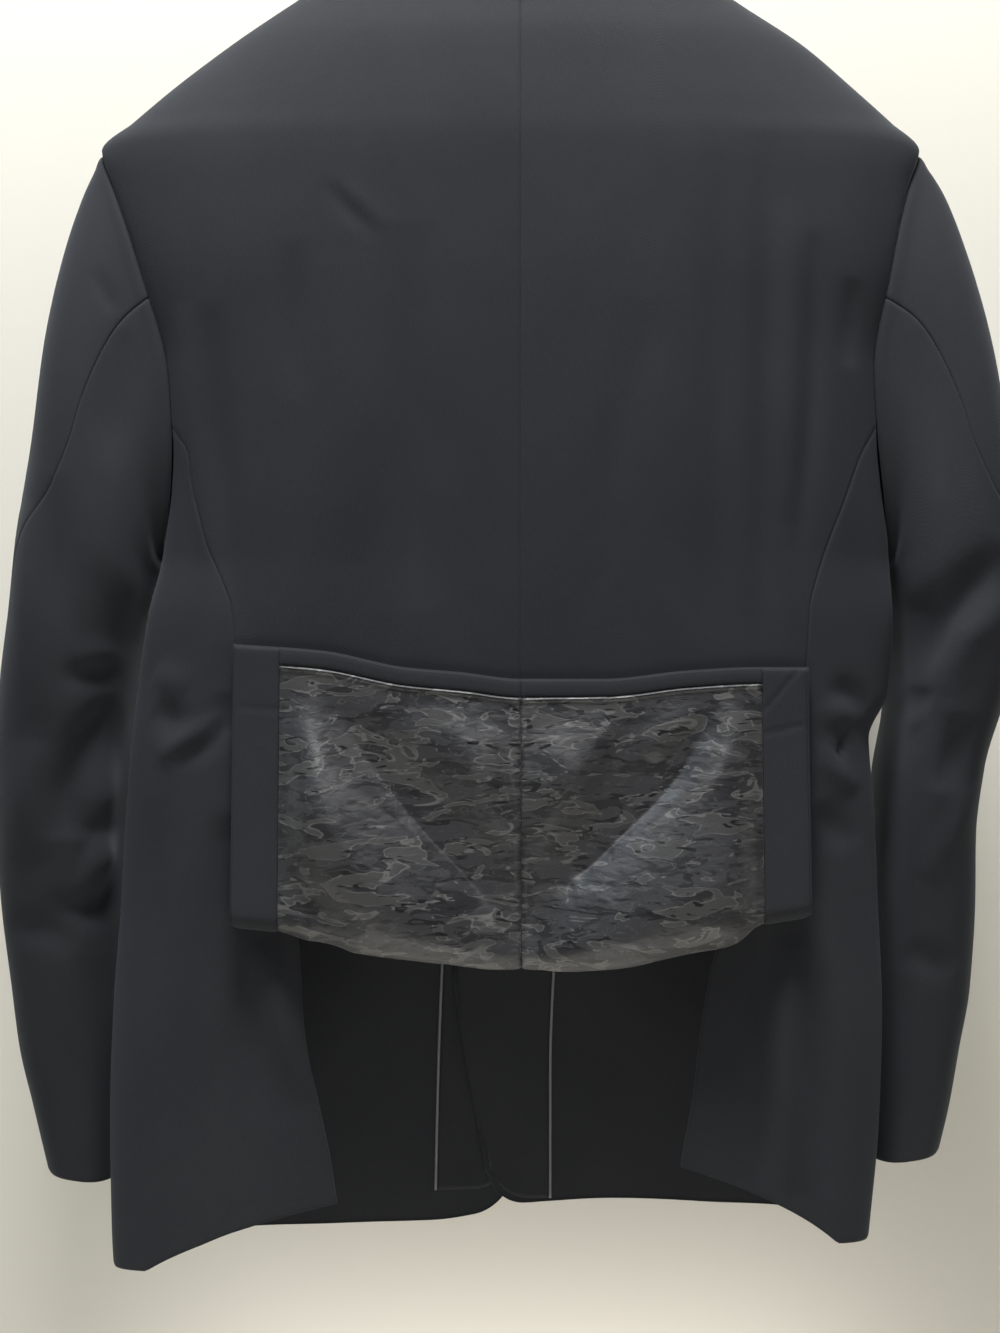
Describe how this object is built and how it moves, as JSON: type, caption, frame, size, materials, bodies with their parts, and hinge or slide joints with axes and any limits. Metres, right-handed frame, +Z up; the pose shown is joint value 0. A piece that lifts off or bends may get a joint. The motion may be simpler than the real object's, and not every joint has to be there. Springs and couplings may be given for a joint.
{
  "type": "sport coat",
  "caption": "Hollow single-breasted wool sport coat hanging filled out, the skirt of its back turned up between side vents to show its jacquard lining.",
  "frame": {"origin": "the hanger loop inside the back neck, on the neck seam at the centre back", "axes": "+X to the wearer's right, +Y from the back to the front of the coat, +Z up"},
  "size_m": [0.646, 0.1691, 0.8559],
  "materials": {
    "charcoal_wool": "matt, near-black fine wool",
    "grey_jacquard": "satin tone-on-tone camouflage jacquard",
    "light_piping": "light grey satin cord",
    "dark_horn": "dark horn, half gloss"
  },
  "bodies": {
    "root": {"back_left": "charcoal_wool", "back_right": "charcoal_wool", "side_left": "charcoal_wool", "side_right": "charcoal_wool", "front_left": "charcoal_wool", "front_right": "charcoal_wool", "top_sleeve_left": "charcoal_wool", "top_sleeve_right": "charcoal_wool", "under_sleeve_left": "charcoal_wool", "under_sleeve_right": "charcoal_wool", "skirt_facing_left": "charcoal_wool", "skirt_facing_right": "charcoal_wool", "skirt_hem_left": "charcoal_wool", "skirt_hem_right": "charcoal_wool", "front_facing_left": "charcoal_wool", "front_facing_right": "charcoal_wool", "lapel_left": "charcoal_wool", "lapel_right": "charcoal_wool", "pocket_flap_left": "charcoal_wool", "pocket_flap_right": "charcoal_wool", "collar_stand": "charcoal_wool", "collar_leaf": "charcoal_wool", "breast_welt": "charcoal_wool", "hanger_loop": "charcoal_wool", "skirt_lining_left": "grey_jacquard", "skirt_lining_right": "grey_jacquard", "facing_piping_left": "light_piping", "facing_piping_right": "light_piping", "button_top": "dark_horn", "button_lower": "dark_horn"}
  },
  "joints": []
}
